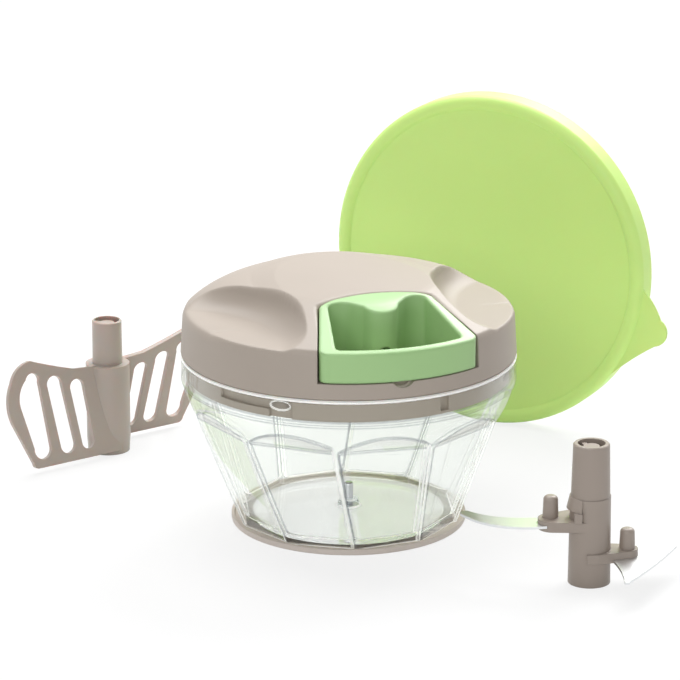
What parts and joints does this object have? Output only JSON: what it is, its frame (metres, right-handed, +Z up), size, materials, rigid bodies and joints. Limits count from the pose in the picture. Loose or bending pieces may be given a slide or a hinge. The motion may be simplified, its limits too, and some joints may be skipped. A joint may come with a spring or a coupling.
{
  "type": "pull-string food chopper",
  "caption": "Hand chopper with a clear fluted bowl, a pull-string drive lid with finger grip, bladed hub, whipping paddle and a soft storage lid.",
  "frame": {"origin": "centre of the bowl's foot on the table", "axes": "+Z up along the bowl's axis, the handle is pulled toward -Y"},
  "size_m": [0.2677, 0.2848, 0.1428],
  "materials": {
    "clear_plastic": "clear moulded, polished",
    "foot_rubber": "soft matte",
    "clear_seal": "soft matte",
    "taupe_plastic": "satin moulded",
    "taupe_dark": "satin moulded",
    "taupe_light": "satin moulded",
    "white_plastic": "moulded",
    "grey_plastic": "moulded",
    "green_plastic": "satin moulded",
    "green_soft": "soft, slightly clear",
    "cord": "braided",
    "steel": "turned",
    "spring_steel": "rolled strip",
    "blade_steel": "polished"
  },
  "bodies": {
    "bowl": {"bowl": "clear_plastic", "foot_ring": "foot_rubber", "pivot_pin": "steel"},
    "rim_seal": {"lid_seal": "clear_seal"},
    "drive_lid": {"upper_housing": "taupe_plastic", "lower_cover": "taupe_plastic", "cover_screws": "steel", "reel_axle": "steel", "retaining_washer": "steel", "retaining_screw": "steel", "cord_guide": "white_plastic", "spring_cover": "white_plastic", "power_spring": "spring_steel", "cord_run": "cord"},
    "handle": {"pull_handle": "green_plastic", "cord_knot": "cord"},
    "reel": {"cord_reel": "white_plastic", "cord_winding": "cord"},
    "coupler": {"drive_coupler": "white_plastic"},
    "pawl_right": {"pawl_right": "grey_plastic"},
    "pawl_left": {"pawl_left": "grey_plastic"},
    "blade_unit": {"blade_hub": "taupe_dark", "upper_blade": "blade_steel", "lower_blade": "blade_steel"},
    "paddle": {"paddle": "taupe_light"},
    "storage_lid": {"storage_lid": "green_soft"}
  },
  "joints": [
    {"name": "lid_lift", "type": "slide", "parent": "bowl", "child": "rim_seal", "axis": [0, 0, 1], "range_m": [0, 0.12]},
    {"name": "lid_turn", "type": "hinge", "parent": "rim_seal", "child": "drive_lid", "pos_m": [0, 0, 0.069], "axis": [0, 0, 1], "range_deg": [0, 22]},
    {"name": "handle_pull", "type": "slide", "parent": "drive_lid", "child": "handle", "axis": [0, -1, 0], "range_m": [0, 0.38], "stiffness_N_per_m": 16, "springref_m": -0.25, "deforming": ["cord_run", "cord_winding", "power_spring"]},
    {"name": "reel_spin", "type": "hinge", "parent": "drive_lid", "child": "reel", "pos_m": [0, 0, 0.08], "axis": [0, 0, 1], "range_deg": [-1235, 0]},
    {"name": "output_freewheel", "type": "hinge", "parent": "reel", "child": "coupler", "pos_m": [0, 0, 0.07], "axis": [0, 0, 1], "continuous": true},
    {"name": "pawl_right_swing", "type": "hinge", "parent": "coupler", "child": "pawl_right", "pos_m": [0.01, 0, 0.0743], "axis": [0, 0, -1], "range_deg": [0, 18]},
    {"name": "pawl_left_swing", "type": "hinge", "parent": "coupler", "child": "pawl_left", "pos_m": [-0.01, 0, 0.0743], "axis": [0, 0, -1], "range_deg": [0, 18]},
    {"name": "blade_lift", "type": "slide", "parent": "bowl", "child": "blade_unit", "axis": [0, 0, 1], "range_m": [0, 0.1]},
    {"name": "paddle_lift", "type": "slide", "parent": "bowl", "child": "paddle", "axis": [0, 0, 1], "range_m": [0, 0.1]},
    {"name": "storage_lid_lift", "type": "slide", "parent": "bowl", "child": "storage_lid", "axis": [0, 0, 1], "range_m": [0, 0.1]}
  ],
  "couplings": [
    {"joint": "reel_spin", "follows": "handle_pull", "rad_per_m": -56.497}
  ]
}
